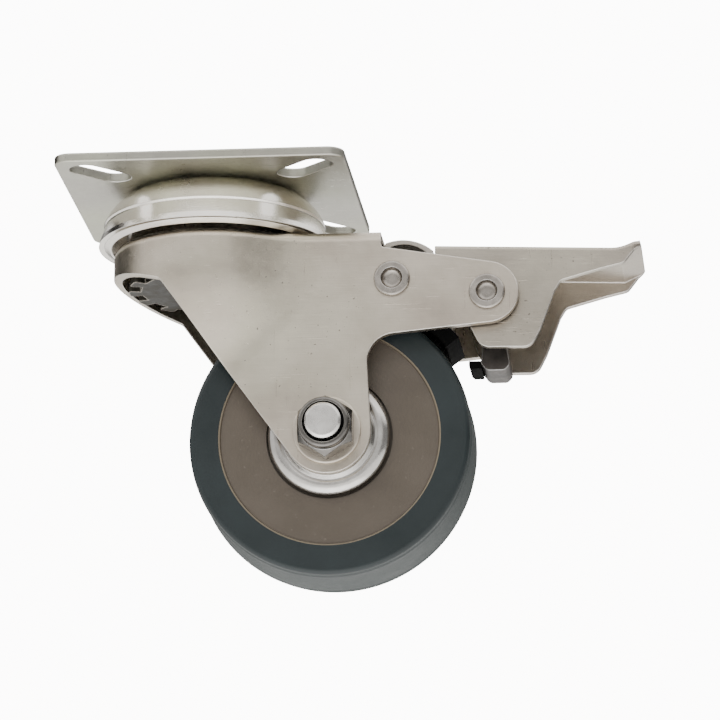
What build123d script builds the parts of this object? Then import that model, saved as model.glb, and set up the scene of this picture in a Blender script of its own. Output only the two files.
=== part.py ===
from build123d import *
import os
from math import atan2, cos, radians, sin, sqrt

# A swivel plate caster with a total-lock foot brake.
# Origin: centre of the plate's top face, on the swivel axis. +X runs from the swivel
# axis towards the wheel and the pedal, +Y is the far side, +Z is up.

# Mounting plate
plate_side = 102.0
plate_thick = 3.3
plate_corner = 6.0
plate_edge = 0.6
slot_pitch = 72.2
slot_length = 24.4
slot_width = 11.4
slot_angle = 45.0

# Swivel head
cup_neck_radius = 30.5
cup_mouth_radius = 41.4
cup_depth = 18.0
cup_sheet = 2.0
crease_radius = 39.6
crease_depth = 10.2
crease_notch = 0.6
kingpin_radius = 6.5
kingpin_head_radius = 12.0
kingpin_foot_radius = 10.0
kingpin_foot_height = 4.0
upper_race_inner = 20.0
upper_race_outer = 29.0
upper_race_thick = 3.0
upper_ball_radius = 3.5
upper_ball_circle = 25.4
upper_ball_count = 18
lower_ball_radius = 3.0
lower_ball_circle = 20.0
lower_ball_count = 16
lower_race_radius = 25.0
lower_race_thick = 3.0
lock_ring_radius = 30.5
lock_ring_root = 26.0
lock_ring_thick = 3.4
lock_ring_level = -33.8
lock_tooth_count = 15
lock_tooth_round = 1.1
seal_width = 2.2
seal_rise = 1.4
seal_drop = 1.2
seal_thick = 0.6

# Fork
sheet = 3.0
fork_half_width = 24.0
crown_radius = fork_half_width + 11.8
crown_neck = 40.0
crown_level = -22.7
crown_bend = 4.0
crown_skirt = 12.5
leg_radius = fork_half_width + 0.5
leg_level = -80.0
taper_steps = 4
dome_radius = 29.5
dome_rise = 8.8
notch_reach = 61.0
notch_depth = 6.3
rear_corner_x = -15.5
rear_corner_z = -40.5
rear_corner_fillet = 2.5
rim_rear_z = -29.8
arm_root_x = 56.4
arm_root_z = -61.3
arm_root_fillet = 10.0
arm_end_radius = 11.0
lobe_radius = 15.2

# Axle and wheel
trail = 43.0
axle_drop = 95.0
axle_radius = 6.35
wheel_radius = 50.0
wheel_half_width = 16.0
shoulder_radius = 1.8
core_radius = wheel_radius - 10.9
core_rim_radius = core_radius + 4.4
core_rim_half_width = 11.5
core_recess = 0.9
core_bore_radius = 11.0
bearing_radius = 14.0
bearing_width = 8.0
bearing_ball_radius = 2.3
bearing_ball_count = 8
bearing_ring_wall = 2.0
sleeve_radius = 8.6
axle_washer_radius = 12.0
axle_washer_thick = 1.3
nut_flats = 19.05
nut_height = 7.6
collar_radius = 9.0
collar_height = 4.0
collar_wall = 1.7
axle_stick_out = 2.4
head_height = 7.5
cap_radius = 21.3
cap_sheet = 1.0
cap_room = 0.9
cap_groove = 2.2

# Foot pedal
pedal_pivot_x = 98.9
pedal_pivot_z = -46.2
pedal_half_width = 19.5
pedal_sheet = 2.5
pedal_edge = 1.2
pedal_rear = 80.3
pedal_top = -27.6
pedal_reach = 152.4
cam_half_width = 9.0

# Lock lever
lever_pivot_x = 65.6
lever_pivot_z = -40.7
lever_half_width = 15.0
lever_sheet = 2.5
shoe_radius = wheel_radius + 1.9
shoe_thick = 5.5
shoe_low_angle = 38.0
shoe_high_angle = 56.0
backing_low_angle = 45.0
spring_room_angle = 4.5
arch_sheet = 1.6
tongue_tip = 24.5
tongue_level = -39.5
tongue_half_width = 9.0

# Rivets
rivet_radius = 5.0
rivet_head_radius = 6.35
rivet_head_height = 1.5
rivet_hollow_radius = 3.8
rivet_hollow_depth = 2.8
rivet_well_round = 2.0
spacer_radius = 8.0

# Clearances
gap = 0.35
running = 0.08
contact = 0.02

plate_under = -plate_thick
fork_inner = fork_half_width - sheet
axle_z = -axle_drop
spring_wire = 1.4
spring_coil_radius = 6.6
spring_turns = 5


def ring_profile(points):
    """A closed outline of radius and height pairs, ready to be turned about the vertical axis."""
    return Plane.XZ * make_face(Polyline(*points, close=True))


def turned(points):
    """A body of revolution about the swivel axis."""
    return revolve(ring_profile(points), Axis.Z)


def on_axle(solid):
    """Carries a body built about the vertical axis onto the axle, its +Z becoming -Y."""
    return Pos(trail, 0, axle_z) * Rot(90, 0, 0) * solid


def both_sides(solid):
    """A body on the near side and its mirror on the far side."""
    return [solid, mirror(solid, Plane.XZ)]


def across(x, z, radius, near, far):
    """A round bar along Y at the given side position, between two Y values."""
    bar = Cylinder(radius, far - near, align=(Align.CENTER, Align.CENTER, Align.MIN))
    return Pos(x, near, z) * Rot(-90, 0, 0) * bar


def side_face(points, rounds):
    """A face drawn in the XZ plane, with chosen corners rounded: rounds is a list of (x, z, radius)."""
    face = make_face(Polyline(*points, close=True))
    for x, z, radius in rounds:
        corner = face.vertices().sort_by_distance((x, z, 0))[0]
        face = fillet(corner, radius)
    return face


def side_slab(face, half_width):
    """A side face given thickness equally to both sides of the middle plane."""
    return extrude(Plane.XZ * face, amount=half_width, both=True)


def tangent_point(x, z, cx, cz, radius, turn):
    """Where the line from (x, z) touches a circle. turn is +1 or -1 for the two touching points."""
    away = sqrt((x - cx) ** 2 + (z - cz) ** 2)
    base = atan2(z - cz, x - cx)
    swing = sqrt(away * away - radius * radius)
    angle = base + turn * atan2(swing, radius)
    return (cx + radius * cos(angle), cz + radius * sin(angle))


def ball_ring(count, radius, circle, level):
    """A ring of equal balls about the vertical axis."""
    balls = []
    for i in range(count):
        angle = radians(360.0 * i / count)
        balls.append(Pos(circle * cos(angle), circle * sin(angle), level) * Sphere(radius))
    return balls


def save(node, shapes):
    """Writes one node's solids to its own file."""
    solids = []
    for shape in shapes:
        solids.extend(shape.solids())
    label = node
    item = Compound(label=label, children=solids) if len(solids) > 1 else solids[0]
    item.label = label
    export_step(item, "parts/" + node + ".step")


# ---------------------------------------------------------------- plate and swivel head


def top_plate():
    body = Box(plate_side, plate_side, plate_thick, align=(Align.CENTER, Align.CENTER, Align.MAX))
    body = fillet(body.edges().filter_by(Axis.Z), plate_corner)
    rims = body.faces().filter_by(Axis.Z).edges()
    body = fillet(rims, plate_edge)
    for i in (-1, 1):
        for j in (-1, 1):
            slot = extrude(SlotOverall(slot_length, slot_width), 2 * plate_thick)
            turn = slot_angle * i * j
            place = Pos(i * slot_pitch / 2, j * slot_pitch / 2, -1.5 * plate_thick)
            body -= place * Rot(0, 0, turn) * slot
    body -= Cylinder(kingpin_head_radius + contact, 3 * plate_thick)
    return body


def raceway_cup():
    t = cup_sheet
    crease_z = plate_under - crease_depth
    lip_z = plate_under - cup_depth
    shoulder_r = 0.36 * cup_neck_radius + 0.64 * crease_radius
    shoulder_z = plate_under - 0.47 * crease_depth
    notch_r = crease_radius - crease_notch
    notch_z = crease_z - crease_notch
    flare_r = cup_mouth_radius - 0.5
    bore = kingpin_radius + contact
    outer = [
        Line((bore, plate_under), (cup_neck_radius, plate_under)),
        ThreePointArc(
            (cup_neck_radius, plate_under), (shoulder_r, shoulder_z), (crease_radius, crease_z)
        ),
        Line((crease_radius, crease_z), (notch_r, notch_z)),
        Line((notch_r, notch_z), (flare_r, lip_z + t)),
        Line((flare_r, lip_z + t), (cup_mouth_radius, lip_z)),
    ]
    inner_neck = cup_neck_radius - 0.3 * t
    inner = [
        Line((cup_mouth_radius, lip_z), (cup_mouth_radius - t, lip_z)),
        Line((cup_mouth_radius - t, lip_z), (notch_r - t, crease_z)),
        ThreePointArc(
            (notch_r - t, crease_z),
            (shoulder_r - 0.75 * t, shoulder_z - 0.68 * t),
            (inner_neck, plate_under - t),
        ),
        Line((inner_neck, plate_under - t), (bore, plate_under - t)),
        Line((bore, plate_under - t), (bore, plate_under)),
    ]
    return revolve(Plane.XZ * make_face(outer + inner), Axis.Z)


def race_seal():
    lip_z = plate_under - cup_depth
    outer = cup_mouth_radius - cup_sheet - contact
    lean = (cup_mouth_radius - crease_radius + crease_notch) / (cup_depth - crease_depth)
    top_radius = outer - lean * seal_rise
    tip_radius = outer - seal_width
    return turned(
        [
            (outer, lip_z),
            (top_radius, lip_z + seal_rise),
            (top_radius - seal_thick, lip_z + seal_rise),
            (tip_radius - seal_thick, lip_z - seal_drop + 0.3),
            (tip_radius, lip_z - seal_drop),
        ]
    )


def upper_ball_level():
    return crown_level + dome_rise + upper_ball_radius - 0.8


def upper_race():
    top = plate_under - cup_sheet
    low = top - upper_race_thick
    ring = turned(
        [
            (upper_race_inner, low),
            (upper_race_outer, low),
            (upper_race_outer, top),
            (upper_race_inner, top),
        ]
    )
    groove = Torus(upper_ball_circle, upper_ball_radius + gap)
    return ring - Pos(0, 0, upper_ball_level()) * groove


def upper_balls():
    return ball_ring(upper_ball_count, upper_ball_radius, upper_ball_circle, upper_ball_level())


def dome_under():
    return crown_level + dome_rise - sheet


def lower_ball_level():
    return dome_under() - gap - lower_ball_radius


def lower_race():
    top = lower_ball_level() - 0.6 * lower_ball_radius
    ring = turned(
        [
            (kingpin_radius + contact, top),
            (lower_race_radius, top),
            (lower_race_radius, top - lower_race_thick),
            (kingpin_radius + contact, top - lower_race_thick),
        ]
    )
    groove = Torus(lower_ball_circle, lower_ball_radius + contact)
    return ring - Pos(0, 0, lower_ball_level()) * groove


def lower_balls():
    return ball_ring(lower_ball_count, lower_ball_radius, lower_ball_circle, lower_ball_level())


def ring_spacer():
    top = lower_ball_level() - 0.6 * lower_ball_radius - lower_race_thick
    wall = kingpin_foot_radius
    bore = kingpin_radius + contact
    return turned([(bore, top), (wall, top), (wall, lock_ring_level), (bore, lock_ring_level)])


def lock_ring():
    low = lock_ring_level - lock_ring_thick
    disc = Cylinder(
        lock_ring_radius, lock_ring_thick, align=(Align.CENTER, Align.CENTER, Align.MIN)
    )
    body = Pos(0, 0, low) * disc
    depth = lock_ring_radius - lock_ring_root
    step = 360.0 / lock_tooth_count
    gap_width = 0.5 * radians(step) * lock_ring_radius
    for i in range(lock_tooth_count):
        cut = Pos(lock_ring_radius, 0, low) * Box(2 * depth, gap_width, 3 * lock_ring_thick)
        body -= Rot(0, 0, step * i) * cut
    corners = body.edges().filter_by(Axis.Z)
    corners = corners.filter_by(
        lambda e: (e.center().X ** 2 + e.center().Y ** 2) ** 0.5 > lock_ring_radius - 0.1
    )
    body = fillet(corners, lock_tooth_round)
    body -= Pos(0, 0, low) * Cylinder(kingpin_radius + contact, 3 * lock_ring_thick)
    return body


def kingpin():
    foot_top = lock_ring_level - lock_ring_thick
    foot_low = foot_top - kingpin_foot_height
    sunk = 0.4
    return turned(
        [
            (0, -sunk),
            (kingpin_head_radius - sunk, -sunk),
            (kingpin_head_radius, -2 * sunk),
            (kingpin_head_radius, plate_under),
            (kingpin_radius, plate_under),
            (kingpin_radius, foot_top),
            (kingpin_foot_radius, foot_top),
            (kingpin_foot_radius - 1.0, foot_low + 1.0),
            (kingpin_foot_radius - 3.0, foot_low),
            (0, foot_low),
        ]
    )


# ---------------------------------------------------------------- fork


def crown_outline(radius, half_width, neck, reach):
    """The fork's plan outline: a round head that necks in to two straight flanks."""
    cx = sqrt((radius + neck) ** 2 - (half_width + neck) ** 2)
    cy = half_width + neck
    tx = cx * radius / (radius + neck)
    ty = cy * radius / (radius + neck)
    mid_x = -cx / (radius + neck)
    mid_y = -cy / (radius + neck) - 1.0
    size = sqrt(mid_x * mid_x + mid_y * mid_y)
    nx = cx + neck * mid_x / size
    ny = cy + neck * mid_y / size
    edges = [
        Line((reach, -half_width), (cx, -half_width)),
        ThreePointArc((cx, -half_width), (nx, -ny), (tx, -ty)),
        ThreePointArc((tx, -ty), (-radius, 0), (tx, ty)),
        ThreePointArc((tx, ty), (nx, ny), (cx, half_width)),
        Line((cx, half_width), (reach, half_width)),
        Line((reach, half_width), (reach, -half_width)),
    ]
    return make_face(edges)


def fork_block(inset):
    """The fork's outer block, or with an inset of one sheet the hollow inside it."""
    reach = pedal_pivot_x + 40.0 + inset
    top = crown_level - inset
    skirt_z = crown_level - crown_skirt
    foot = axle_z - 2 * lobe_radius
    flank = fork_half_width - inset
    neck = crown_neck + inset
    wide = crown_outline(crown_radius - inset, flank, neck, reach)
    slim = crown_outline(leg_radius - inset, flank, neck, reach)
    head = Pos(0, 0, skirt_z) * extrude(wide, top - skirt_z)
    rim = head.edges().filter_by(lambda e: abs(e.center().Z - top) < 0.01)
    rim = rim.filter_by(lambda e: e.center().X < reach - 1.0)
    head = fillet(rim, crown_bend - inset)
    sections = []
    for i in range(taper_steps + 1):
        share = i / taper_steps
        ease = (1.0 - cos(radians(180.0 * share))) / 2.0
        radius = leg_radius + ease * (crown_radius - leg_radius)
        level = leg_level + share * (skirt_z - leg_level)
        sections.append(Pos(0, 0, level) * crown_outline(radius - inset, flank, neck, reach))
    taper = loft(sections)
    legs = Pos(0, 0, foot) * extrude(slim, leg_level - foot)
    return head + taper + legs


def fork_side():
    """The fork's side outline: crown, leg with its round foot, and the forward arm."""
    notch_low = crown_level - notch_depth
    arm_top = tangent_point(
        notch_reach + 0.9, notch_low, pedal_pivot_x, pedal_pivot_z, arm_end_radius, -1
    )
    arm_low = tangent_point(
        arm_root_x, arm_root_z, pedal_pivot_x, pedal_pivot_z, arm_end_radius, 1
    )
    foot_front = tangent_point(arm_root_x, arm_root_z, trail, axle_z, lobe_radius, -1)
    foot_rear = tangent_point(rear_corner_x, rear_corner_z, trail, axle_z, lobe_radius, 1)
    rear = -crown_radius - 10.0
    above = crown_level + 5.0
    face = side_face(
        [
            (rear, above),
            (notch_reach, above),
            (notch_reach + 0.9, notch_low),
            arm_top,
            arm_low,
            (arm_root_x, arm_root_z),
            foot_front,
            foot_rear,
            (rear_corner_x, rear_corner_z),
            (rear, rim_rear_z),
        ],
        [
            (notch_reach + 0.9, notch_low, 1.0),
            (arm_root_x, arm_root_z, arm_root_fillet),
            (rear_corner_x, rear_corner_z, rear_corner_fillet),
        ],
    )
    face += Pos(pedal_pivot_x, pedal_pivot_z) * Circle(arm_end_radius)
    face += Pos(trail, axle_z) * Circle(lobe_radius)
    return face


def fork():
    shell = fork_block(0.0) - fork_block(sheet)
    body = shell & side_slab(fork_side(), crown_radius + 5.0)
    body -= Pos(0, 0, crown_level) * Cylinder(dome_radius - 1.5, 4 * sheet)
    top = crown_level + dome_rise
    under = crown_level - sheet
    bore = kingpin_radius + gap
    dome = turned(
        [
            (bore, top),
            (dome_radius - 1.0, top),
            (dome_radius, top - 1.0),
            (dome_radius + 1.5, crown_level),
            (dome_radius + 1.5, under),
            (dome_radius - 1.5, under),
            (dome_radius - sheet, top - sheet),
            (bore, top - sheet),
        ]
    )
    dome -= Pos(0, 0, upper_ball_level()) * Torus(
        upper_ball_circle, upper_ball_radius + contact
    )
    body += dome
    span = 2 * fork_half_width
    body -= across(trail, axle_z, axle_radius + contact, -span, span)
    body -= across(pedal_pivot_x, pedal_pivot_z, rivet_radius + contact, -span, span)
    body -= across(lever_pivot_x, lever_pivot_z, rivet_radius + contact, -span, span)
    return body


def hollow_rivet(x, z):
    """A tubular rivet through both arms, its ends rolled over and dished."""
    face = fork_half_width
    body = across(x, z, rivet_radius, -face, face)
    for side in (-1, 1):
        head = Cylinder(
            rivet_head_radius, rivet_head_height, align=(Align.CENTER, Align.CENTER, Align.MIN)
        )
        rim = head.edges().filter_by(lambda e: abs(e.center().Z - rivet_head_height) < 0.01)
        head = fillet(rim, 0.6 * rivet_head_height)
        well = Cylinder(
            rivet_hollow_radius,
            rivet_hollow_depth,
            align=(Align.CENTER, Align.CENTER, Align.MAX),
        )
        floor_rim = well.edges().group_by(Axis.Z)[0]
        well = Pos(0, 0, rivet_head_height) * fillet(floor_rim, rivet_well_round)
        body += Pos(x, side * face, z) * Rot(-90 * side, 0, 0) * head
        body -= Pos(x, side * face, z) * Rot(-90 * side, 0, 0) * well
    return body


def tube_across(x, z, radius, bore, near, far):
    """A plain tube or washer on a rivet, between two Y values."""
    return across(x, z, radius, near, far) - across(x, z, bore, near - 1.0, far + 1.0)


# ---------------------------------------------------------------- axle and wheel


def hexagon(flats, height):
    """A six-sided prism with its top corners chamfered, one corner pointing down in place."""
    blank = extrude(RegularPolygon(flats / 2, 6, major_radius=False, rotation=0), height)
    round_off = Cone(
        flats * 0.575 + height, flats * 0.5 - 0.4, height * 2, align=(Align.CENTER, Align.CENTER, Align.MIN)
    )
    taper = Pos(0, 0, -height) * round_off
    return blank & taper


def axle_bolt():
    seat = fork_half_width + axle_washer_thick
    tip = seat + nut_height + collar_height + axle_stick_out
    shank = Cylinder(axle_radius, tip + seat, align=(Align.CENTER, Align.CENTER, Align.MIN))
    end = shank.edges().filter_by(lambda e: abs(e.center().Z - tip - seat) < 0.01)
    shank = chamfer(end, 0.8)
    head = Pos(0, 0, -seat) * Rot(180, 0, 30) * hexagon(nut_flats, head_height)
    return on_axle(Pos(0, 0, -seat) * shank + head)


def axle_nut():
    seat = fork_half_width + axle_washer_thick
    body = hexagon(nut_flats, nut_height)
    collar = Cylinder(
        collar_radius, collar_height + 1.0, align=(Align.CENTER, Align.CENTER, Align.MIN)
    )
    top = collar.edges().filter_by(lambda e: abs(e.center().Z - collar_height - 1.0) < 0.01)
    collar = fillet(top, 0.6 * collar_wall)
    body += Pos(0, 0, nut_height - 1.0) * collar
    body -= Cylinder(axle_radius + contact, 4 * nut_height)
    inside = collar_radius - collar_wall
    body -= Pos(0, 0, nut_height + 0.5) * Cylinder(
        inside, collar_height * 2, align=(Align.CENTER, Align.CENTER, Align.MIN)
    )
    return on_axle(Pos(0, 0, seat) * Rot(0, 0, 30) * body)


def nut_insert():
    seat = fork_half_width + axle_washer_thick + nut_height + 0.5
    inside = collar_radius - collar_wall - contact
    depth = collar_height - 1.6
    ring = Cylinder(inside, depth, align=(Align.CENTER, Align.CENTER, Align.MIN))
    ring -= Cylinder(axle_radius + contact, 4 * depth)
    return on_axle(Pos(0, 0, seat + contact) * ring)


def axle_washers():
    disc = Cylinder(
        axle_washer_radius, axle_washer_thick, align=(Align.CENTER, Align.CENTER, Align.MIN)
    )
    disc = fillet(disc.edges().group_by(Axis.Z)[-1], 0.5)
    disc -= Cylinder(axle_radius + contact, 4 * axle_washer_thick)
    return both_sides(on_axle(Pos(0, 0, fork_half_width) * disc))


def hub_end():
    """How far the bearings reach out from the middle plane."""
    return wheel_half_width


def axle_sleeve():
    half = hub_end() - bearing_width
    tube = Cylinder(sleeve_radius - 0.6, 2 * half) - Cylinder(axle_radius + contact, 3 * half)
    return on_axle(tube)


def side_spacers():
    near = hub_end()
    far = fork_inner - cap_sheet
    tube = Cylinder(sleeve_radius, far - near, align=(Align.CENTER, Align.CENTER, Align.MIN))
    tube -= Cylinder(axle_radius + contact, 20.0)
    return both_sides(on_axle(Pos(0, 0, near) * tube))


def bearing_seat():
    return hub_end() - bearing_width


def ball_track(radius):
    level = bearing_seat() + bearing_width / 2
    track = (sleeve_radius + bearing_radius) / 2
    return Pos(0, 0, level) * Torus(track, radius)


def bearing_inner_rings():
    ring = Cylinder(
        sleeve_radius + 0.3, bearing_width, align=(Align.CENTER, Align.CENTER, Align.MIN)
    )
    ring = Pos(0, 0, bearing_seat()) * (ring - Cylinder(axle_radius + contact, 4 * bearing_width))
    ring -= ball_track(bearing_ball_radius + gap)
    return both_sides(on_axle(ring))


def bearing_outer_rings():
    ring = Cylinder(
        bearing_radius, bearing_width, align=(Align.CENTER, Align.CENTER, Align.MIN)
    )
    ring -= Cylinder(bearing_radius - bearing_ring_wall - 0.3, 4 * bearing_width)
    ring = Pos(0, 0, bearing_seat()) * ring
    ring -= ball_track(bearing_ball_radius + contact)
    return both_sides(on_axle(ring))


def bearing_balls():
    level = bearing_seat() + bearing_width / 2
    track = (sleeve_radius + bearing_radius) / 2
    balls = []
    for ball in ball_ring(bearing_ball_count, bearing_ball_radius, track, level):
        balls.extend(both_sides(on_axle(ball)))
    return balls


def dust_caps():
    t = cap_sheet
    face = fork_inner
    step = cap_radius - 4.2
    bore = axle_radius + contact
    outer = [
        Line((bore, face), (step - 1.8, face)),
        Line((step - 1.8, face), (step - 0.7, face - 1.5)),
        Line((step - 0.7, face - 1.5), (step, face - 1.5)),
        ThreePointArc(
            (step, face - 1.5),
            (cap_radius - 1.5, face - 1.9),
            (cap_radius, face - 3.6),
        ),
        Line((cap_radius, face - 3.6), (cap_radius, face - 4.4)),
    ]
    inner = [
        Line((cap_radius, face - 4.4), (cap_radius - t, face - 4.4)),
        Line((cap_radius - t, face - 4.4), (cap_radius - t, face - 3.6)),
        ThreePointArc(
            (cap_radius - t, face - 3.6),
            (cap_radius - 1.5 - 0.6 * t, face - 1.9 - 0.8 * t),
            (step, face - 1.5 - t),
        ),
        Line((step, face - 1.5 - t), (step - 0.7 - 0.5 * t, face - 1.5 - t)),
        Line((step - 0.7 - 0.5 * t, face - 1.5 - t), (step - 1.8 - 0.5 * t, face - t)),
        Line((step - 1.8 - 0.5 * t, face - t), (bore, face - t)),
        Line((bore, face - t), (bore, face)),
    ]
    cap = revolve(Plane.XZ * make_face(outer + inner), Axis.Z)
    return both_sides(on_axle(cap))


def wheel_core():
    w = wheel_half_width
    face = w - core_recess
    rim = core_rim_half_width
    seat = bearing_seat()
    hub = bearing_radius + 5.0
    half = [
        (core_bore_radius, 0),
        (core_rim_radius, 0),
        (core_rim_radius, rim),
        (core_radius, rim),
        (core_radius, w - 0.3),
        (core_radius - 0.5, w - 0.3),
        (core_radius - 0.9, face),
        (cap_radius + cap_room, face),
        (cap_radius + cap_room, face - cap_groove),
        (hub, face - cap_groove),
        (hub, w - 0.4),
        (bearing_radius + contact, w - 0.4),
        (bearing_radius + contact, seat),
        (core_bore_radius, seat),
    ]
    side = turned(half)
    return on_axle(side + mirror(side, Plane.XY))


def tyre():
    w = wheel_half_width
    body = Cylinder(wheel_radius, 2 * w)
    rims = body.edges().filter_by(GeomType.CIRCLE)
    body = fillet(rims, shoulder_radius)
    body -= Cylinder(core_radius + contact, 4 * w)
    body -= Cylinder(core_rim_radius + contact, 2 * core_rim_half_width + 2 * contact)
    return on_axle(body)


# ---------------------------------------------------------------- foot pedal


def pedal_slope():
    """How much the pedal's top falls for each millimetre forward."""
    return 0.0355


def brake_pedal():
    fall = pedal_slope()
    bend_x = pedal_reach - 7.0
    bend_z = pedal_top - fall * (bend_x - pedal_rear)
    tip_z = bend_z + 3.3
    toe_under = tip_z - 0.9 * pedal_sheet
    px = pedal_pivot_x
    pz = pedal_pivot_z
    face = side_face(
        [
            (pedal_rear, pedal_top),
            (bend_x, bend_z),
            (pedal_reach - 0.4, tip_z),
            (pedal_reach + 0.3, toe_under),
            (pedal_reach - 2.2, toe_under - 1.8),
            (px + 47.5, pz + 10.6),
            (px + 39.4, pz + 8.7),
            (px + 25.5, pz + 4.8),
            (px + 23.4, pz + 1.4),
            (px + 18.4, pz - 12.3),
            (px + 15.0, pz - 19.0),
            (px - 2.6, pz - 18.8),
            (px - 6.2, pz - 11.3),
            (px - 10.5, pz + 2.0),
            (pedal_rear, pedal_top - 8.0),
        ],
        [
            (px + 15.0, pz - 19.0, 4.5),
            (px - 2.6, pz - 18.8, 5.0),
            (bend_x, bend_z, 14.0),
            (px + 47.5, pz + 10.6, 3.0),
            (px + 25.5, pz + 4.8, 2.5),
        ],
    )
    body = side_slab(face, pedal_half_width)
    inside = pedal_half_width - pedal_sheet
    under = pedal_top - pedal_sheet
    low = pz - 30.0
    cavity = make_face(
        Polyline(
            (pedal_rear - 5.0, under + 5.0 * fall),
            (bend_x, bend_z - pedal_sheet),
            (pedal_reach + 0.3, toe_under),
            (pedal_reach + 8.0, toe_under + 2.0),
            (pedal_reach + 8.0, low),
            (pedal_rear - 5.0, low),
            close=True,
        )
    )
    body -= side_slab(cavity, inside)
    plan_reach = pedal_reach + 0.3
    plan = Rectangle(2 * plan_reach, 2 * pedal_half_width)
    plan = fillet(plan.vertices(), 4.0)
    body &= Pos(0, 0, low) * extrude(plan, -low)
    top_rims = body.edges().filter_by(
        lambda e: e.length > 20.0
        and abs(abs(e.center().Y) - pedal_half_width) < 0.05
        and e.center().Z > pedal_top - 3.5
    )
    body = fillet(top_rims, pedal_edge)
    body -= across(px, pz, rivet_radius + running, -30.0, 30.0)
    return body


def pedal_cam():
    px = pedal_pivot_x
    pz = pedal_pivot_z
    face = side_face(
        [
            (px - 1.9, pz - 9.5),
            (px + 5.3, pz - 9.5),
            (px + 5.6, pz - 15.0),
            (px + 6.9, pz - 22.5),
            (px + 5.0, pz - 24.5),
            (px - 1.4, pz - 24.5),
            (px - 3.2, pz - 22.0),
            (px - 2.6, pz - 15.0),
        ],
        [(px + 6.9, pz - 22.5, 2.0), (px + 5.0, pz - 24.5, 2.0), (px - 1.4, pz - 24.5, 2.5)],
    )
    body = side_slab(face, cam_half_width)
    inside = pedal_half_width - pedal_sheet - contact
    bridge = Pos(px + 1.7, 0, pz - 12.5) * Box(6.0, 2 * inside, 5.0)
    return body + bridge


def cam_pad():
    px = pedal_pivot_x
    pz = pedal_pivot_z
    right = px - 3.2 - contact
    face = side_face(
        [
            (right - 4.4, pz - 20.6),
            (right + 0.1, pz - 20.6),
            (right + 0.1, pz - 22.0),
            (right + 1.1, pz - 23.4),
            (right - 3.4, pz - 23.4),
            (right - 4.4, pz - 22.4),
        ],
        [],
    )
    body = side_slab(face, cam_half_width - 1.5)
    return body - side_slab(Pos(px + 6.8, pz - 20.0) * Rectangle(20.0, 30.0), 20.0)


# ---------------------------------------------------------------- lock lever


def polar(radius, angle):
    """A side position at a distance and angle from the axle."""
    return (trail + radius * cos(radians(angle)), axle_z + radius * sin(radians(angle)))


def lever_web(inset, rear, front):
    """The arched top of the lever, as three side positions lowered by an inset."""
    x = lever_pivot_x
    z = lever_pivot_z
    return [
        (x - 3.0 + rear, z + 15.6 - inset),
        (x + 3.6, z + 16.6 - inset),
        (x + 13.8 - front, z + 12.4 - inset),
    ]


def lock_lever():
    x = lever_pivot_x
    z = lever_pivot_z
    back = shoe_radius + shoe_thick + contact
    plate = back + lever_sheet
    low = backing_low_angle
    high = shoe_high_angle
    mid = (low + high) / 2
    rear = high - spring_room_angle
    top = lever_web(0.0, 0.0, 0.0)
    cheek = make_face(
        [
            ThreePointArc(*top),
            Line(top[2], (x + 14.4, z + 5.0)),
            Line((x + 14.4, z + 5.0), (x + 18.6, z - 6.0)),
            Line((x + 18.6, z - 6.0), polar(plate, low)),
            Line(polar(plate, low), polar(back, low)),
            ThreePointArc(polar(back, low), polar(back, mid), polar(back, high)),
            Line(polar(back, high), (x, z - 6.8)),
            Line((x, z - 6.8), (x - 9.5, z - 1.8)),
            Line((x - 9.5, z - 1.8), (x - 9.5, z + 1.8)),
            Line((x - 9.5, z + 1.8), top[0]),
        ]
    )
    body = side_slab(cheek, lever_half_width)
    under = lever_web(lever_sheet, lever_sheet, lever_sheet)
    hollow = make_face(
        [
            ThreePointArc(*under),
            Line(under[2], (x + 11.9, z + 4.5)),
            Line((x + 11.9, z + 4.5), (x + 16.0, z - 6.5)),
            Line((x + 16.0, z - 6.5), polar(plate, low + lever_sheet)),
            ThreePointArc(polar(plate, low + lever_sheet), polar(plate, mid), polar(plate, rear)),
            Line(polar(plate, rear), (x - 12.0, z - 9.0)),
            Line((x - 12.0, z - 9.0), (x - 12.0, z + 1.0)),
            Line((x - 12.0, z + 1.0), under[0]),
        ]
    )
    body -= side_slab(hollow, lever_half_width - lever_sheet)
    sill = z + 8.0
    lintel = lever_web(arch_sheet, arch_sheet, arch_sheet)
    window = make_face(
        [
            ThreePointArc(*lintel),
            Line(lintel[2], (lintel[2][0], sill)),
            Line((lintel[2][0], sill), (lintel[0][0], sill)),
            Line((lintel[0][0], sill), lintel[0]),
        ]
    )
    body -= side_slab(window, 2 * lever_half_width)
    thick = lever_sheet
    join = x - 8.5
    tongue = Pos((tongue_tip + join) / 2, 0, tongue_level - thick / 2) * Box(
        join - tongue_tip, 2 * tongue_half_width, thick
    )
    bridge = Pos(join, 0, tongue_level - thick / 2) * Box(1.8, 2 * lever_half_width, thick)
    body += bridge
    body += tongue
    body -= across(x, z, rivet_radius + running, -30.0, 30.0)
    return body


def brake_shoe():
    low = shoe_low_angle
    high = shoe_high_angle
    mid = (low + high) / 2
    inner = shoe_radius
    outer = shoe_radius + shoe_thick
    face = make_face(
        [
            ThreePointArc(polar(outer, low), polar(outer, mid), polar(outer, high)),
            Line(polar(outer, high), polar(inner, high)),
            ThreePointArc(polar(inner, high), polar(inner, mid), polar(inner, low)),
            Line(polar(inner, low), polar(outer, low)),
        ]
    )
    return side_slab(face, lever_half_width - 1.5)


def return_spring():
    length = spring_turns * spring_wire * 1.45
    path = Helix(
        pitch=spring_wire * 1.45, height=length, radius=spring_coil_radius, center=(0, 0, 0)
    )
    section = Plane(origin=path @ 0, z_dir=path % 0) * Circle(spring_wire / 2)
    coil = sweep(section, path=path, is_frenet=True)
    return Pos(lever_pivot_x, -length / 2, lever_pivot_z) * Rot(-90, 0, 0) * coil


def pivot_washers():
    near = pedal_half_width + gap
    washers = []
    tube = tube_across(
        pedal_pivot_x, pedal_pivot_z, spacer_radius, rivet_radius + contact, near, fork_inner
    )
    washers.extend(both_sides(tube))
    return washers


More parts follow.
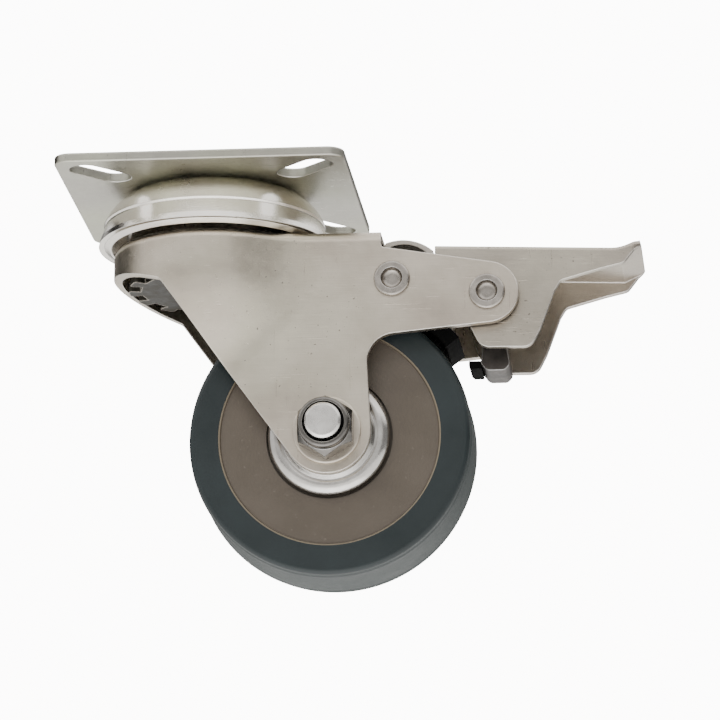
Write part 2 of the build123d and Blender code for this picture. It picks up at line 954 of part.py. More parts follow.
def lever_spacers():
    near = lever_half_width + gap
    tube = tube_across(
        lever_pivot_x,
        lever_pivot_z,
        spacer_radius - 1.2,
        rivet_radius + contact,
        near,
        fork_inner,
    )
    return both_sides(tube)


os.makedirs("parts", exist_ok=True)
save("top_plate", [top_plate()])
save("raceway_cup", [raceway_cup()])
save("race_seal", [race_seal()])
save("upper_race", [upper_race()])
save("upper_balls", upper_balls())
save("lower_race", [lower_race()])
save("lower_balls", lower_balls())
save("ring_spacer", [ring_spacer()])
save("lock_ring", [lock_ring()])
save("kingpin", [kingpin()])
save("fork", [fork()])
save("pedal_rivet", [hollow_rivet(pedal_pivot_x, pedal_pivot_z)])
save("lever_rivet", [hollow_rivet(lever_pivot_x, lever_pivot_z)])
save("pivot_washers", pivot_washers())
save("lever_spacers", lever_spacers())
save("axle_bolt", [axle_bolt()])
save("axle_nut", [axle_nut()])
save("nut_insert", [nut_insert()])
save("axle_washers", axle_washers())
save("axle_sleeve", [axle_sleeve()])
save("side_spacers", side_spacers())
save("bearing_inner_rings", bearing_inner_rings())
save("bearing_outer_rings", bearing_outer_rings())
save("bearing_balls", bearing_balls())
save("dust_caps", dust_caps())
save("wheel_core", [wheel_core()])
save("tyre", [tyre()])
save("brake_pedal", [brake_pedal()])
save("pedal_cam", [pedal_cam()])
save("cam_pad", [cam_pad()])
save("lock_lever", [lock_lever()])
save("brake_shoe", [brake_shoe()])
save("return_spring", [return_spring()])
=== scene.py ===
import math

import bpy
import numpy as np
from mathutils import Matrix, Vector


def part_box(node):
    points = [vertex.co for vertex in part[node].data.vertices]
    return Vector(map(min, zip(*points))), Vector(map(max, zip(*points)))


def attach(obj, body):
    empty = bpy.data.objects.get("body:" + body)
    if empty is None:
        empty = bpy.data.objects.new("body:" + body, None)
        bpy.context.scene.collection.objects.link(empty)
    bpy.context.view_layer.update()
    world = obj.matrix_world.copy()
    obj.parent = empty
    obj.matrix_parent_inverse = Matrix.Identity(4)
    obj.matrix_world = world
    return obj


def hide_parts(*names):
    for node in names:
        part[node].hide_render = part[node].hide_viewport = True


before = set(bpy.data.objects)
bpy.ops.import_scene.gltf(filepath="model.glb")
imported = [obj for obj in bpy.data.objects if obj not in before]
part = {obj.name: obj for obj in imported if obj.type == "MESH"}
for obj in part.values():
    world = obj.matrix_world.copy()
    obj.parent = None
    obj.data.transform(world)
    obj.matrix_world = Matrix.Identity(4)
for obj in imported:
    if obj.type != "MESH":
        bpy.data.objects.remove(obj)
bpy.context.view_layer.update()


# ------------------------------------------------------------------ camera
# The caster is seen from its near side, from a little below it and a little towards the
# pedal's end, through a long lens that looks at a point just above the axle.

look_yaw = 0.099
look_rise = 0.265
look_roll = -0.003
look_distance = 1.7029

wheel_low, wheel_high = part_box("tyre")
axle = (wheel_low + wheel_high) / 2
look_at = axle + Vector((0.00913, 0.0, 0.03156))

ahead = Vector((
    -math.sin(look_yaw) * math.cos(look_rise),
    math.cos(look_yaw) * math.cos(look_rise),
    math.sin(look_rise),
))
level = Vector((math.cos(look_yaw), math.sin(look_yaw), 0.0))
down = ahead.cross(level)
right = math.cos(look_roll) * level + math.sin(look_roll) * down
up = math.sin(look_roll) * level - math.cos(look_roll) * down

lens = bpy.data.cameras.new("camera")
lens.sensor_width = 36
lens.lens = 240.86
lens.clip_end = 20
camera = bpy.data.objects.new("camera", lens)
bpy.context.scene.collection.objects.link(camera)
stand = look_at - look_distance * ahead
camera.matrix_world = Matrix((
    (right.x, up.x, -ahead.x, stand.x),
    (right.y, up.y, -ahead.y, stand.y),
    (right.z, up.z, -ahead.z, stand.z),
    (0.0, 0.0, 0.0, 1.0),
))
bpy.context.scene.camera = camera


# ------------------------------------------------------------------ studio
# A pale floor well below the raised caster, with a glowing pool under it, soft boxes that
# the plating doesn't mirror, and a room whose bright and dark walls it does.

floor_level = -0.62
floor_reach = 7.0
floor_rings = 12
floor_spokes = 65
pool_heart = 0.1
pool_nearer = -0.30
pool_reach = 0.80
pool_glow = 2.0


def add(material, kind, inputs=None, **settings):
    """Adds a node to a material or world, with its settings, and sets or links each input."""
    made = material.node_tree.nodes.new(kind)
    for name, value in settings.items():
        setattr(made, name, value)
    for name, value in (inputs or {}).items():
        socket = made.inputs[name]
        if isinstance(value, bpy.types.NodeSocket):
            material.node_tree.links.new(value, socket)
        else:
            socket.default_value = value
    return made


def finish(name, colour, roughness, metal=0.0):
    """A new material: one Principled shader, and the piece's own coordinates in metres."""
    material = bpy.data.materials.new(name)
    material.use_nodes = True
    shader = material.node_tree.nodes["Principled BSDF"]
    shader.inputs["Base Color"].default_value = (*colour, 1.0)
    shader.inputs["Roughness"].default_value = roughness
    shader.inputs["Metallic"].default_value = metal
    place = add(material, "ShaderNodeTexCoord").outputs["Object"]
    return material, shader, place


def noise(material, place, size, detail=2.0, rough=0.5, stretch=None, turn=(0.0, 0.0, 0.0)):
    """Cloudy noise whose lumps are 'size' metres across; stretch scales it on each axis."""
    if stretch is not None:
        place = add(material, "ShaderNodeMapping", {
            "Vector": place, "Rotation": turn, "Scale": stretch,
        }).outputs["Vector"]
    return add(material, "ShaderNodeTexNoise", {
        "Vector": place, "Scale": 1.0 / size, "Detail": detail, "Roughness": rough,
    }).outputs["Fac"]


def band(material, value, low, high, out_low=0.0, out_high=1.0):
    """Carries a value from low..high onto out_low..out_high, held at the ends."""
    return add(material, "ShaderNodeMapRange", {
        "Value": value, "From Min": low, "From Max": high,
        "To Min": out_low, "To Max": out_high,
    }).outputs["Result"]


def sums(material, operation, first, second):
    """One step of arithmetic on two numbers or sockets."""
    made = add(material, "ShaderNodeMath", operation=operation)
    for socket, value in zip(made.inputs, (first, second)):
        if isinstance(value, bpy.types.NodeSocket):
            material.node_tree.links.new(value, socket)
        else:
            socket.default_value = value
    return made.outputs["Value"]


# The floor is a disc: radius and angle are the two parameters of its grid.
floor_radius = np.linspace(0.0, floor_reach, floor_rings)
floor_angle = np.linspace(0.0, 2 * math.pi, floor_spokes)
spread, around = np.meshgrid(floor_radius, floor_angle)
disc = np.stack([
    spread * np.cos(around), spread * np.sin(around), np.full_like(spread, floor_level),
], axis=-1)
index = np.arange(disc[..., 0].size).reshape(spread.shape)
squares = np.stack([index[:-1, :-1], index[:-1, 1:], index[1:, 1:], index[1:, :-1]], axis=-1)
floor_mesh = bpy.data.meshes.new("studio_floor")
floor_mesh.from_pydata(disc.reshape(-1, 3).tolist(), [], squares.reshape(-1, 4).tolist())
floor = bpy.data.objects.new("studio_floor", floor_mesh)
bpy.context.scene.collection.objects.link(floor)
floor_paint, floor_shader, floor_place = finish("studio_paper", (0.84, 0.84, 0.83), 0.9)
fibre = noise(floor_paint, floor_place, 0.03)
relief = add(floor_paint, "ShaderNodeBump", {"Height": fibre, "Distance": 0.0005})
floor_paint.node_tree.links.new(relief.outputs["Normal"], floor_shader.inputs["Normal"])
reach = add(floor_paint, "ShaderNodeVectorMath", {
    0: floor_place, 1: (0.0, pool_nearer, floor_level),
}, operation="DISTANCE").outputs["Value"]
pool = add(floor_paint, "ShaderNodeMapRange", {
    "Value": reach, "From Min": pool_reach, "From Max": pool_heart, "To Max": pool_glow,
}, interpolation_type="SMOOTHSTEP").outputs["Result"]
floor_paint.node_tree.links.new(pool, floor_shader.inputs["Emission Strength"])
floor_shader.inputs["Emission Color"].default_value = (1.0, 1.0, 1.0, 1.0)
floor_mesh.materials.append(floor_paint)


def softbox(name, place, aim, size, power, tint=(1.0, 1.0, 1.0)):
    """A soft light with a flat face at a place, turned to the point that it lights."""
    lamp = bpy.data.lights.new(name, "AREA")
    lamp.shape = "RECTANGLE"
    lamp.size, lamp.size_y = size
    lamp.energy = power
    lamp.color = tint
    holder = bpy.data.objects.new(name, lamp)
    bpy.context.scene.collection.objects.link(holder)
    holder.location = place
    holder.rotation_euler = (Vector(aim) - Vector(place)).to_track_quat("-Z", "Y").to_euler()
    holder.visible_glossy = False


softbox("light_key", (-1.0, -1.6, 1.3), axle, (1.6, 1.2), 18.0, (1.0, 0.985, 0.96))
softbox("light_side", (1.8, -0.6, 0.7), axle, (1.0, 1.0), 4.0, (0.96, 0.98, 1.0))
softbox("light_back", (0.4, 1.8, 0.9), axle, (1.2, 0.6), 9.0)
softbox("light_floor", (0.0, 2.5, 1.4), (0.0, 2.5, floor_level), (2.4, 1.6), 16.0)

# The room is a grey sphere. Each wall is a soft patch that adds light or takes it away: a
# direction, the cosines off it where the patch starts and is full, and its strength. They
# are the ceiling, the front, the left, a dark card behind the left, and the right. What
# the camera itself sees of the room is plain white.
room_grey = 0.22
room_seen = 12.0
walls = (
    ((0.0, 0.0, 1.0), 0.34, 0.52, 1.70),
    ((0.0, -1.0, 0.20), 0.75, 0.96, 0.68),
    ((-0.90, -0.36, 0.20), 0.74, 0.94, 0.85),
    ((-0.86, 0.44, 0.26), 0.90, 0.965, -3.00),
    ((0.90, -0.35, -0.05), 0.78, 0.95, 0.10),
)
room = bpy.data.worlds.new("room")
room.use_nodes = True
background = room.node_tree.nodes["Background"]
heading = add(room, "ShaderNodeTexCoord").outputs["Generated"]
glow = room_grey
for direction, rim, heart, strength in walls:
    facing = add(room, "ShaderNodeVectorMath", {
        0: heading, 1: Vector(direction).normalized(),
    }, operation="DOT_PRODUCT").outputs["Value"]
    patch = add(room, "ShaderNodeMapRange", {
        "Value": facing, "From Min": rim, "From Max": heart, "To Max": strength,
    }, interpolation_type="SMOOTHSTEP").outputs["Result"]
    glow = sums(room, "ADD", glow, patch)
seen = add(room, "ShaderNodeLightPath").outputs["Is Camera Ray"]
glow = sums(room, "MAXIMUM", glow, sums(room, "MULTIPLY", seen, room_seen))
room.node_tree.links.new(glow, background.inputs["Strength"])
background.inputs["Color"].default_value = (1.0, 0.99, 0.975, 1.0)
bpy.context.scene.world = room


# ------------------------------------------------------------------ mounting plate
# Punched from 3.3 mm steel strip with four slots, then zinc plated. The plating is satin,
# with a faint yellow and green bloom, rolling lines along the strip and small handling marks.


def blend_colour(material, share, first, second):
    """Mixes two colours, or sockets that carry colours, by a share from 0 to 1."""
    made = add(material, "ShaderNodeMix", data_type="RGBA")
    made.inputs["Factor"].default_value = 0.0
    material.node_tree.links.new(share, made.inputs["Factor"])
    for socket, value in zip((made.inputs[6], made.inputs[7]), (first, second)):
        if isinstance(value, bpy.types.NodeSocket):
            material.node_tree.links.new(value, socket)
        else:
            socket.default_value = (*value, 1.0)
    return made.outputs[2]


def relief_on(material, shader, steps, under=None):
    """Stacks bumps, each a height and a depth in metres, and joins the last to the shader."""
    normal = under
    for height, depth in steps:
        inputs = {"Height": height, "Distance": depth, "Strength": 1.0}
        if normal is not None:
            inputs["Normal"] = normal
        normal = add(material, "ShaderNodeBump", inputs).outputs["Normal"]
    material.node_tree.links.new(normal, shader.inputs["Normal"])


def rounded_arris(material, radius):
    """A rounded normal along every arris, and a mask that is 1 where the arris turns."""
    soft = add(material, "ShaderNodeBevel", {"Radius": radius}, samples=6).outputs["Normal"]
    flat = add(material, "ShaderNodeNewGeometry").outputs["Normal"]
    facing = add(material, "ShaderNodeVectorMath", {0: soft, 1: flat}, operation="DOT_PRODUCT")
    return soft, band(material, facing.outputs["Value"], 0.995, 0.90)


def zinc_plate(name, colour, bloom, roughness, grain_axis, seed, marks=1.0, edge=0.0005):
    """Satin zinc plate on pressed sheet: cloudy tone, a bloom of passivation colour, rolling
    lines along one axis, hairline scratches, dark specks, slow waves in the sheet, and
    arrises that are rounded and lightened in colour, as rubbed wear and a painted highlight."""
    material, shader, place = finish(name, colour, roughness, 1.0)
    place = add(material, "ShaderNodeMapping", {
        "Vector": place, "Location": (seed, 0.37 * seed, 0.71 * seed),
    }).outputs["Vector"]
    long_way = tuple(1.0 if i == grain_axis else 22.0 for i in range(3))
    cloud = noise(material, place, 0.030, 4.0, 0.6)
    patch = noise(material, place, 0.055, 2.0)
    fine = noise(material, place, 0.0022, 3.0, 0.6)
    rolling = noise(material, place, 0.012, 3.0, 0.65, long_way)
    hair_a = noise(material, place, 0.016, 1.0, 0.5, (1.0, 26.0, 26.0), (0.3, 0.9, 0.4))
    hair_b = noise(material, place, 0.020, 1.0, 0.5, (30.0, 30.0, 1.0), (0.2, -0.5, 0.7))
    speck = noise(material, place, 0.0011, 1.0)
    speck = band(material, speck, 0.73, 0.80)
    speck = sums(material, "MULTIPLY", speck, band(material, patch, 0.45, 0.60))
    scratch = sums(
        material, "MAXIMUM", band(material, hair_a, 0.70, 0.74), band(material, hair_b, 0.71, 0.75)
    )
    soft, lightened_share = rounded_arris(material, edge)
    dull = tuple(share * c for share, c in zip((0.80, 0.77, 0.76), colour))
    bright = tuple(min(1.0, 1.10 * c) for c in colour)
    tone = blend_colour(material, band(material, cloud, 0.32, 0.72), dull, bright)
    tone = blend_colour(material, band(material, patch, 0.42, 0.75, 0.0, 0.55), tone, bloom)
    streak = band(material, rolling, 0.35, 0.70, 0.0, 0.25 * marks)
    tone = blend_colour(material, streak, tone, dull)
    tone = blend_colour(material, sums(material, "MULTIPLY", speck, 0.75), tone, (0.10, 0.09, 0.08))
    # Painted highlight and rubbed wear: the arrises are lightened in the base colour.
    tone = blend_colour(material, sums(material, "MULTIPLY", lightened_share, 0.6), tone, (0.83, 0.81, 0.78))
    material.node_tree.links.new(tone, shader.inputs["Base Color"])
    sheen = band(material, cloud, 0.30, 0.75, roughness - 0.05, roughness + 0.08)
    sheen = sums(material, "ADD", sheen, band(material, fine, 0.3, 0.7, -0.03, 0.04))
    sheen = sums(material, "SUBTRACT", sheen, sums(material, "MULTIPLY", scratch, 0.08))
    sheen = sums(material, "SUBTRACT", sheen, sums(material, "MULTIPLY", lightened_share, 0.12))
    material.node_tree.links.new(sheen, shader.inputs["Roughness"])
    relief_on(material, shader, [
        (patch, 0.0012 * marks),
        (cloud, 0.00035 * marks),
        (rolling, 0.00003),
        (sums(material, "MULTIPLY", scratch, -1.0), 0.00002 * marks),
        (fine, 0.00002 * marks),
    ], soft)
    return material


def dress(material, *names):
    """Gives CAD nodes a finish, in every material slot they have."""
    for name in names:
        for slot in part[name].material_slots:
            slot.material = material
        if not part[name].material_slots:
            part[name].data.materials.append(material)


plate_finish = zinc_plate(
    "plate_zinc", (0.42, 0.415, 0.37), bloom=(0.44, 0.455, 0.32), roughness=0.34,
    grain_axis=0, seed=0.0, marks=0.4, edge=0.0007,
)
dress(plate_finish, "top_plate")


# ------------------------------------------------------------------ swivel head
# A pressed cup riveted under the plate by the kingpin carries the upper ball race. Its
# skirt hangs over the fork's crown, and a thin dust ring closes the gap between them.

cup_finish = zinc_plate(
    "head_zinc", (0.82, 0.80, 0.75), bloom=(0.80, 0.76, 0.62), roughness=0.20,
    grain_axis=0, seed=1.3, marks=0.05, edge=0.0004,
)
dress(cup_finish, "raceway_cup", "race_seal")

# Painted shade darkens the base colour of what lies in a hollow: it starts where a fifth of the sky
# is shut off.
hollow_shade_reach = 0.004
hollow_shade_starts = 0.80
hollow_shade_full = 0.35
hollow_shade_share = 0.85
hollow_shade_colour = (0.045, 0.036, 0.028)


def turned_steel(name, colour, roughness, axis, pitch, seed=0.0, edge=0.0003, stain=0.25):
    """Bright plated or ground steel: fine rings left by turning about one axis, a soft change of
    tone, faint smears, arrises lightened as wear and painted highlight, and painted shade in
    hollows."""
    material, shader, place = finish(name, colour, roughness, 1.0)
    place = add(material, "ShaderNodeMapping", {
        "Vector": place, "Location": (seed, seed, seed),
    }).outputs["Vector"]
    rings = noise(material, place, pitch, 2.0, 0.6, axis)
    cloud = noise(material, place, 0.006, 3.0, 0.6)
    smear = noise(material, place, 0.0025, 4.0, 0.7)
    soft, lightened_share = rounded_arris(material, edge)
    dull = tuple(c * (1.0 - stain) for c in colour)
    tone = blend_colour(material, band(material, cloud, 0.35, 0.70), dull, colour)
    # Painted highlight and rubbed wear: the arrises are lightened in the base colour.
    tone = blend_colour(material, sums(material, "MULTIPLY", lightened_share, 0.5), tone, (0.88, 0.87, 0.85))
    # Painted shade: the base colour darkens where the surroundings shut off the sky.
    open_air = add(material, "ShaderNodeAmbientOcclusion", {"Distance": hollow_shade_reach}, samples=8)
    painted_hollow_shade = band(material, open_air.outputs["AO"], hollow_shade_starts, hollow_shade_full)
    painted_hollow_shade = sums(material, "MULTIPLY", painted_hollow_shade, hollow_shade_share)
    tone = blend_colour(material, painted_hollow_shade, tone, hollow_shade_colour)
    material.node_tree.links.new(tone, shader.inputs["Base Color"])
    sheen = band(material, smear, 0.30, 0.70, roughness - 0.03, roughness + 0.09)
    material.node_tree.links.new(sheen, shader.inputs["Roughness"])
    relief_on(material, shader, [(cloud, 0.00008), (rings, 0.000006), (smear, 0.000008)], soft)
    return material


race_steel = turned_steel(
    "bearing_steel", (0.56, 0.56, 0.55), roughness=0.22,
    axis=(8.0, 8.0, 60.0), pitch=0.01, seed=0.0, edge=0.0002,
)
dress(
    race_steel, "upper_race", "upper_balls", "lower_race", "lower_balls", "ring_spacer",
    "bearing_inner_rings", "bearing_outer_rings", "bearing_balls", "axle_sleeve",
    "side_spacers", "return_spring",
)

# The toothed ring under the crown and the kingpin get a near-black base colour, a painted
# shade of the dark under the crown; their arrises are lightened as painted glints.
ring_painted_shade, ring_painted_shade_shader, place = finish("ring_steel", (0.03, 0.028, 0.022), 0.5, 0.1)
ring_painted_shade_shader.inputs["Specular IOR Level"].default_value = 0.2
smear = noise(ring_painted_shade, place, 0.005, 4.0, 0.65)
soft, lightened_share = rounded_arris(ring_painted_shade, 0.0007)
mottle = band(ring_painted_shade, smear, 0.35, 0.70)
tone = blend_colour(ring_painted_shade, mottle, (0.012, 0.011, 0.008), (0.036, 0.032, 0.024))
# Painted glints: the arrises are lightened in the base colour.
tone = blend_colour(ring_painted_shade, sums(ring_painted_shade, "MULTIPLY", lightened_share, 0.7), tone, (0.50, 0.46, 0.40))
ring_painted_shade.node_tree.links.new(tone, ring_painted_shade_shader.inputs["Base Color"])
ring_painted_shade.node_tree.links.new(
    band(ring_painted_shade, smear, 0.3, 0.7, 0.42, 0.66), ring_painted_shade_shader.inputs["Roughness"]
)
relief_on(ring_painted_shade, ring_painted_shade_shader, [(smear, 0.0002)], soft)
dress(ring_painted_shade, "lock_ring", "kingpin")


# ------------------------------------------------------------------ fork
# One blank of 3 mm sheet pressed into a round crown with two legs and two forward arms.
# Its plating is warmer and darker than the head's. The lock lever between the arms is
# pressed from thinner sheet, and its base colour is darker than the fork's.

fork_finish = zinc_plate(
    "fork_zinc", (0.57, 0.52, 0.44), bloom=(0.58, 0.56, 0.44), roughness=0.34,
    grain_axis=0, seed=2.7, marks=0.8, edge=0.0006,
)

# Where the blank was folded under the crown's edge the press left a short shallow nick.
# It is not modelled: its painted shade darkens the base colour towards its middle.
fork_low, fork_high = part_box("fork")
nick = Vector((0.0247, fork_low.y + 0.0118, fork_high.z - 0.0160))
nick_size = (0.0048, 0.004, 0.0014)
nick_tilt = (0.0, 0.10, 0.0)
tree = fork_finish.node_tree
fork_shader = tree.nodes["Principled BSDF"]
place = add(fork_finish, "ShaderNodeTexCoord").outputs["Object"]
offset = add(fork_finish, "ShaderNodeVectorMath", {
    0: place, 1: nick,
}, operation="SUBTRACT").outputs["Vector"]
offset = add(fork_finish, "ShaderNodeMapping", {
    "Vector": offset, "Rotation": nick_tilt, "Scale": [1.0 / size for size in nick_size],
}).outputs["Vector"]
depth = add(fork_finish, "ShaderNodeVectorMath", {0: offset}, operation="LENGTH").outputs["Value"]
nick_painted_shade = add(fork_finish, "ShaderNodeMapRange", {
    "Value": depth, "From Min": 1.0, "From Max": 0.1,
}, interpolation_type="SMOOTHSTEP").outputs["Result"]
tone = fork_shader.inputs["Base Color"].links[0].from_socket
# Painted shade of the nick, blended into the fork's base colour.
nick_painted_shade = sums(fork_finish, "MULTIPLY", nick_painted_shade, 0.75)
tone = blend_colour(fork_finish, nick_painted_shade, tone, (0.16, 0.15, 0.13))
tree.links.new(tone, fork_shader.inputs["Base Color"])
dress(fork_finish, "fork")

lever_finish = zinc_plate(
    "lever_zinc", (0.46, 0.43, 0.39), bloom=(0.48, 0.45, 0.38), roughness=0.33,
    grain_axis=0, seed=4.1, marks=0.8, edge=0.0006,
)
dress(lever_finish, "lock_lever")


# ------------------------------------------------------------------ rivets and spacers
# Two tubular steel rivets pass through both arms; their ends are rolled over into a round
# rim, with a dished hole. Plain washers space the pedal and the lever on them.

rivet_steel = turned_steel(
    "rivet_steel", (0.46, 0.425, 0.385), roughness=0.26,
    axis=(30.0, 4.0, 30.0), pitch=0.01, seed=3.0, edge=0.0004, stain=0.35,
)
dress(rivet_steel, "pedal_rivet", "lever_rivet", "pivot_washers", "lever_spacers")


# ------------------------------------------------------------------ axle
# A half-inch bolt with a self-locking nut: the hexagon is topped by a round collar that
# holds a dark ring, and the bolt's chamfered end stands just proud of it. The bolt is
# bright, the nut's dark colour is painted shade, and the stepped dust caps behind it are polished.

axle_steel = turned_steel(
    "bright_steel", (0.80, 0.78, 0.75), roughness=0.25,
    axis=(30.0, 4.0, 30.0), pitch=0.01, seed=5.0, edge=0.0004, stain=0.2,
)
cap_steel = turned_steel(
    "cap_steel", (0.62, 0.60, 0.57), roughness=0.15,
    axis=(30.0, 4.0, 30.0), pitch=0.01, seed=9.0, edge=0.0004, stain=0.2,
)
# The nut's dark base colour is painted shade; it is otherwise the same steel as the bolt.
nut_steel = turned_steel(
    "nut_steel", (0.18, 0.171, 0.16), roughness=0.19,
    axis=(30.0, 4.0, 30.0), pitch=0.01, seed=7.0, edge=0.0004, stain=0.3,
)
dress(axle_steel, "axle_bolt")
dress(cap_steel, "dust_caps")
dress(nut_steel, "axle_nut")
dress(fork_finish, "axle_washers")


# ------------------------------------------------------------------ wheel
# A moulded taupe core carries two ball bearings, and a dark blue-grey tyre is moulded
# round its rim. The tyre's tread is slightly crowned, with a flash line at each shoulder.


def axle_radius_of(material, place):
    """Distance of a point from the axle's centre line, in metres."""
    shifted = add(material, "ShaderNodeVectorMath", {
        0: place, 1: (axle.x, 0.0, axle.z),
    }, operation="SUBTRACT").outputs["Vector"]
    flat = add(material, "ShaderNodeVectorMath", {
        0: shifted, 1: (1.0, 0.0, 1.0),
    }, operation="MULTIPLY").outputs["Vector"]
    return add(
        material, "ShaderNodeVectorMath", {0: flat}, operation="LENGTH"
    ).outputs["Value"]


def lathe(name, profile, turns, material, body):
    """A body of revolution about the axle: every point of a closed outline, given as a
    radius and a distance from the middle plane, is carried round a circle."""
    outline = np.array(profile)
    count = len(outline)
    angle = np.linspace(0.0, 2 * math.pi, turns, endpoint=False)
    radius = outline[:, 0][None, :]
    points = np.stack([
        axle.x + radius * np.cos(angle)[:, None],
        np.repeat(outline[:, 1][None, :], turns, axis=0),
        axle.z + radius * np.sin(angle)[:, None],
    ], axis=-1).reshape(-1, 3)
    ring = np.arange(turns)[:, None] * count
    after = (np.arange(turns)[:, None] + 1) % turns * count
    here = np.arange(count)[None, :]
    there = (np.arange(count)[None, :] + 1) % count
    quads = np.stack([ring + here, ring + there, after + there, after + here], axis=-1)
    mesh = bpy.data.meshes.new(name)
    mesh.from_pydata(points.tolist(), [], quads.reshape(-1, 4).tolist())
    mesh.update()
    mesh.polygons.foreach_set("use_smooth", np.ones(turns * count, bool))
    made = bpy.data.objects.new(name, mesh)
    bpy.context.scene.collection.objects.link(made)
    mesh.materials.append(material)
    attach(made, body)
    return made


turning_marks = 4200.0
rim_highlight_starts = 0.0384
rim_highlight_full = 0.0388
core_finish, core_shader, place = finish("core_plastic", (0.056, 0.044, 0.032), 0.46)
radius = axle_radius_of(core_finish, place)
grain = noise(core_finish, place, 0.0006, 2.0, 0.6)
swirl = noise(core_finish, place, 0.020, 4.0, 0.6)
dust = noise(core_finish, place, 0.0016, 2.0, 0.6)
dust = band(core_finish, dust, 0.68, 0.80, 0.0, 0.5)
rings = sums(core_finish, "MULTIPLY", radius, turning_marks)
rings = add(core_finish, "ShaderNodeMath", {0: rings}, operation="SINE").outputs["Value"]
mottle = band(core_finish, swirl, 0.30, 0.72)
tone = blend_colour(core_finish, mottle, (0.056, 0.044, 0.031), (0.072, 0.057, 0.042))
tone = blend_colour(core_finish, dust, tone, (0.13, 0.11, 0.088))
# Painted highlight: a thin lighter band in the base colour along the core face's outer rim.
rim_highlight = band(core_finish, radius, rim_highlight_starts, rim_highlight_full)
rim_highlight = sums(core_finish, "MULTIPLY", rim_highlight, 0.8)
tone = blend_colour(core_finish, rim_highlight, tone, (0.19, 0.155, 0.105))
core_finish.node_tree.links.new(tone, core_shader.inputs["Base Color"])
core_finish.node_tree.links.new(
    band(core_finish, swirl, 0.3, 0.7, 0.40, 0.54), core_shader.inputs["Roughness"]
)
relief_on(core_finish, core_shader, [(rings, 0.000006), (grain, 0.00002), (swirl, 0.0002)])
dress(core_finish, "wheel_core")

tread_starts = 0.0488
tread_full = 0.0497
tyre_finish, tyre_shader, place = finish("tyre_rubber", (0.010, 0.015, 0.017), 0.42)
tyre_shader.inputs["Specular IOR Level"].default_value = 0.35
radius = axle_radius_of(tyre_finish, place)
scuff = noise(tyre_finish, place, 0.004, 4.0, 0.7, (1.0, 6.0, 1.0))
cloud = noise(tyre_finish, place, 0.025, 3.0, 0.6)
grain = noise(tyre_finish, place, 0.0005, 2.0, 0.6)
on_tread = band(tyre_finish, radius, tread_starts, tread_full)
mottle = band(tyre_finish, cloud, 0.3, 0.7)
tone = blend_colour(tyre_finish, mottle, (0.0075, 0.0125, 0.0135), (0.0115, 0.0175, 0.0190))
lightened_share = sums(tyre_finish, "MULTIPLY", on_tread, band(tyre_finish, scuff, 0.30, 0.75, 0.25, 0.9))
tone = blend_colour(tyre_finish, lightened_share, tone, (0.050, 0.058, 0.056))
tyre_finish.node_tree.links.new(tone, tyre_shader.inputs["Base Color"])
gloss = band(tyre_finish, cloud, 0.3, 0.7, 0.36, 0.50)
gloss = sums(tyre_finish, "ADD", gloss, sums(tyre_finish, "MULTIPLY", on_tread, 0.12))
tyre_finish.node_tree.links.new(gloss, tyre_shader.inputs["Roughness"])
relief_on(tyre_finish, tyre_shader, [
    (cloud, 0.0003), (sums(tyre_finish, "MULTIPLY", on_tread, scuff), 0.00025), (grain, 0.00002),
])

half_width = (wheel_high.y - wheel_low.y) / 2
tread = (wheel_high.x - wheel_low.x) / 2
bore = 0.0391
bore_lip = 0.001
shoulder = 0.0018
crown_drop = 0.0004
flash_height = 0.00035
flash_width = 0.0007
flash_inset = 0.0022
tread_margin = 0.0002
wall_margin = 0.002
turn_in = 0.0001
around_tyre = 256
across_tread = 61
round_shoulder = 9


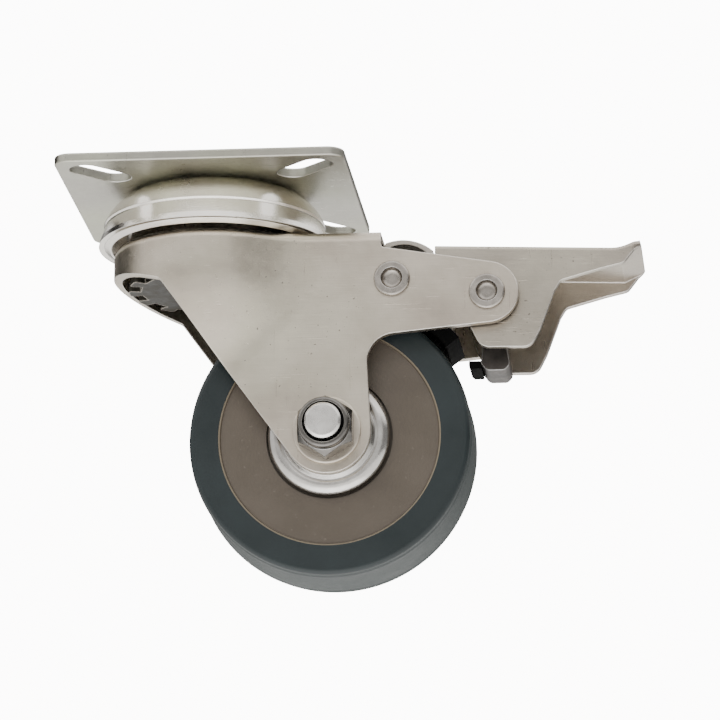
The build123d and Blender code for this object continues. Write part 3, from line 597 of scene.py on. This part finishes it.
def tyre_outline():
    """The tyre's cut face: a flat side wall, a quarter-round shoulder, then a tread whose
    radius falls by crown_drop towards its edges, with a narrow flash ridge near each."""
    arc = np.linspace(0.0, math.pi / 2, round_shoulder)
    side_x = half_width - shoulder + shoulder * np.cos(arc)
    near_r = tread - crown_drop - shoulder + shoulder * np.sin(arc)
    inner_edge = half_width - shoulder - tread_margin
    flat = np.linspace(inner_edge, -inner_edge, across_tread)
    share = flat / inner_edge
    ridge = np.exp(-((np.abs(flat) - (inner_edge - flash_inset)) / flash_width) ** 2)
    outer_r = tread - crown_drop * share ** 2 - flash_height + flash_height * ridge
    right_edge = np.column_stack([near_r - flash_height, side_x])
    middle = np.column_stack([outer_r, flat])
    left_edge = np.column_stack([near_r[::-1] - flash_height, -side_x[::-1]])
    wall = np.array([
        [bore, half_width - bore_lip],
        [bore, half_width - turn_in],
        [bore, half_width],
        [bore + turn_in, half_width],
        [tread - shoulder - wall_margin, half_width],
    ])
    return np.vstack([wall, right_edge, middle, left_edge, wall[::-1] * (1, -1)])


tyre_piece = lathe(
    "tyre_moulding", tyre_outline(), around_tyre, tyre_finish, "wheel"
)
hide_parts("tyre")


# ------------------------------------------------------------------ pads
# The brake shoe, the pad on the pedal's cam and the ring inside the nut are plain black
# mouldings, matt, with a fine grain and a little dust.

pad_finish, pad_shader, place = finish("pad_rubber", (0.003, 0.003, 0.003), 0.75)
pad_shader.inputs["Specular IOR Level"].default_value = 0.05
grain = noise(pad_finish, place, 0.0007, 3.0, 0.6)
cloud = noise(pad_finish, place, 0.006, 3.0, 0.6)
mottle = band(pad_finish, cloud, 0.3, 0.75)
tone = blend_colour(pad_finish, mottle, (0.002, 0.002, 0.002), (0.005, 0.0049, 0.0047))
pad_finish.node_tree.links.new(tone, pad_shader.inputs["Base Color"])
pad_finish.node_tree.links.new(
    band(pad_finish, cloud, 0.3, 0.7, 0.68, 0.82), pad_shader.inputs["Roughness"]
)
relief_on(pad_finish, pad_shader, [(cloud, 0.0001), (grain, 0.00003)])
# The brake shoe is black rubber, and it also fills the shaded gap between the tyre and the pedal,
# so part of its black is painted shade.
dress(pad_finish, "brake_shoe", "cam_pad", "nut_insert")


# ------------------------------------------------------------------ foot pedal
# Pressed from 2.5 mm sheet into a channel whose toe curls up for the shoe. Its plating is
# duller than the fork's, and the cam between its cheeks is bare dark grey steel.

pedal_finish = zinc_plate(
    "pedal_zinc", (0.47, 0.43, 0.375), bloom=(0.48, 0.455, 0.36), roughness=0.33,
    grain_axis=0, seed=6.2, marks=0.9, edge=0.0006,
)
dress(pedal_finish, "brake_pedal")
cam_steel = turned_steel(
    "cam_steel", (0.10, 0.09, 0.083), roughness=0.40,
    axis=(8.0, 60.0, 8.0), pitch=0.01, seed=4.0, edge=0.0006, stain=0.4,
)
dress(cam_steel, "pedal_cam")
